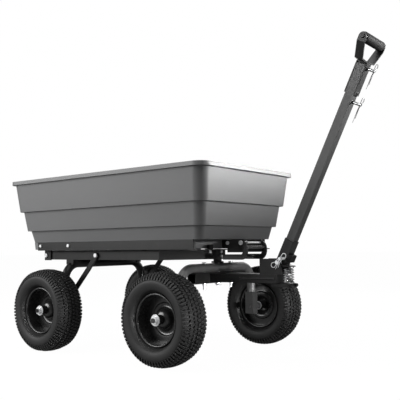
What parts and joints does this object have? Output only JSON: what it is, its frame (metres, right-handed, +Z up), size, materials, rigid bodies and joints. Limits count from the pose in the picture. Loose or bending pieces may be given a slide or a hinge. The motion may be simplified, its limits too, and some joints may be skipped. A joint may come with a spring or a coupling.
{
  "type": "tipping dump cart",
  "caption": "Garden dump cart: stepped poly tub that tips on a steel frame, flat-free wheels, steered front axle and a sprung pull tongue with a D-grip.",
  "frame": {"origin": "ground level under the middle of the cart's plan box, from the tub's rear rim to the front of the grip", "axes": "+X forward to the tongue, +Y to the cart's left, +Z up"},
  "size_m": [1.599, 0.7626, 1.1058],
  "materials": {
    "poly": "textured",
    "paint_grey": "satin powder coat",
    "paint_black": "satin powder coat",
    "rim_black": "gloss paint",
    "rubber": "matt",
    "grip_foam": "fine foam",
    "tyre": "moulded",
    "zinc": "bright zinc",
    "spring_steel": "bright wire"
  },
  "bodies": {
    "chassis": {"main_rail_left": "paint_grey", "main_rail_right": "paint_grey", "rear_saddles": "paint_black", "rear_hoop": "paint_black", "rear_brace_left": "paint_black", "rear_brace_right": "paint_black", "rear_spindles": "paint_black", "rear_wheel_nuts": "zinc", "frame_bolts": "zinc", "front_post": "paint_black", "kingpin": "zinc", "kingpin_collar": "paint_black", "tub_pivot_bolts": "zinc", "rest_pads": "rubber", "rear_wheel_bearings": "zinc"},
    "tub_body": {"tub": "poly", "tub_rail_left": "paint_grey", "tub_rail_right": "paint_grey", "tub_bolts": "zinc", "tub_crossbar": "paint_black", "crossbar_buffers": "rubber", "latch_bracket": "paint_grey", "handle_pivot_pin": "zinc", "latch_spring": "spring_steel"},
    "handle": {"lift_handle": "paint_grey"},
    "steering": {"front_hoop": "paint_grey", "front_spindles": "paint_grey", "front_wheel_nuts": "zinc", "steer_beam": "paint_black", "hoop_bolts": "zinc", "drawbar": "paint_black", "tongue_bracket": "paint_black", "spring_seat": "paint_black", "seat_buffers": "rubber", "tongue_pivot_pin": "zinc", "pivot_pin_clip": "zinc", "tongue_springs": "spring_steel", "front_wheel_bearings": "zinc"},
    "tongue": {"tongue_tube": "paint_grey", "tongue_sleeve": "paint_grey", "spring_foot": "paint_black", "tongue_bumper": "rubber", "sleeve_pin": "zinc", "sleeve_pin_clip": "zinc", "clevis_plates": "paint_black", "grip_frame": "paint_grey", "grip_sleeve": "grip_foam", "tongue_bolts": "paint_black"},
    "upper_pin": {"upper_hitch_pin": "zinc", "upper_hitch_clip": "zinc"},
    "lower_pin": {"lower_hitch_pin": "zinc", "lower_hitch_clip": "zinc"},
    "rear_left_wheel": {"rear_left_tyre": "tyre", "rear_left_rim": "rim_black"},
    "rear_right_wheel": {"rear_right_tyre": "tyre", "rear_right_rim": "rim_black"},
    "front_left_wheel": {"front_left_tyre": "tyre", "front_left_rim": "rim_black"},
    "front_right_wheel": {"front_right_tyre": "tyre", "front_right_rim": "rim_black"}
  },
  "joints": [
    {"name": "tub_tip", "type": "hinge", "parent": "chassis", "child": "tub_body", "pos_m": [-0.65351, 0, 0.384], "axis": [0, -1, 0], "range_deg": [0, 75]},
    {"name": "handle_lift", "type": "hinge", "parent": "tub_body", "child": "handle", "pos_m": [0.28449, 0, 0.427], "axis": [0, -1, 0], "range_deg": [0, 20], "stiffness_Nm_per_rad": 2, "springref_deg": -17.19},
    {"name": "steer", "type": "hinge", "parent": "chassis", "child": "steering", "pos_m": [0.12549, 0, 0.3], "axis": [0, 0, 1], "range_deg": [-45, 45]},
    {"name": "tongue_tilt", "type": "hinge", "parent": "steering", "child": "tongue", "pos_m": [0.41918, 0, 0.35479], "axis": [0, 1, 0], "range_deg": [0, 55], "stiffness_Nm_per_rad": 30, "springref_deg": -28.65, "deforming": ["tongue_springs"]},
    {"name": "upper_pin_pull", "type": "slide", "parent": "tongue", "child": "upper_pin", "axis": [0.8965, 0, -0.4431], "range_m": [-0.02, 0]},
    {"name": "lower_pin_pull", "type": "slide", "parent": "tongue", "child": "lower_pin", "axis": [0.8965, 0, -0.4431], "range_m": [-0.02, 0]},
    {"name": "rear_left_spin", "type": "hinge", "parent": "chassis", "child": "rear_left_wheel", "pos_m": [-0.50551, 0.3215, 0.165], "axis": [0, 1, 0], "continuous": true},
    {"name": "rear_right_spin", "type": "hinge", "parent": "chassis", "child": "rear_right_wheel", "pos_m": [-0.50551, -0.3215, 0.165], "axis": [0, 1, 0], "continuous": true},
    {"name": "front_left_spin", "type": "hinge", "parent": "steering", "child": "front_left_wheel", "pos_m": [0.12549, 0.3215, 0.165], "axis": [0, 1, 0], "continuous": true},
    {"name": "front_right_spin", "type": "hinge", "parent": "steering", "child": "front_right_wheel", "pos_m": [0.12549, -0.3215, 0.165], "axis": [0, 1, 0], "continuous": true}
  ]
}
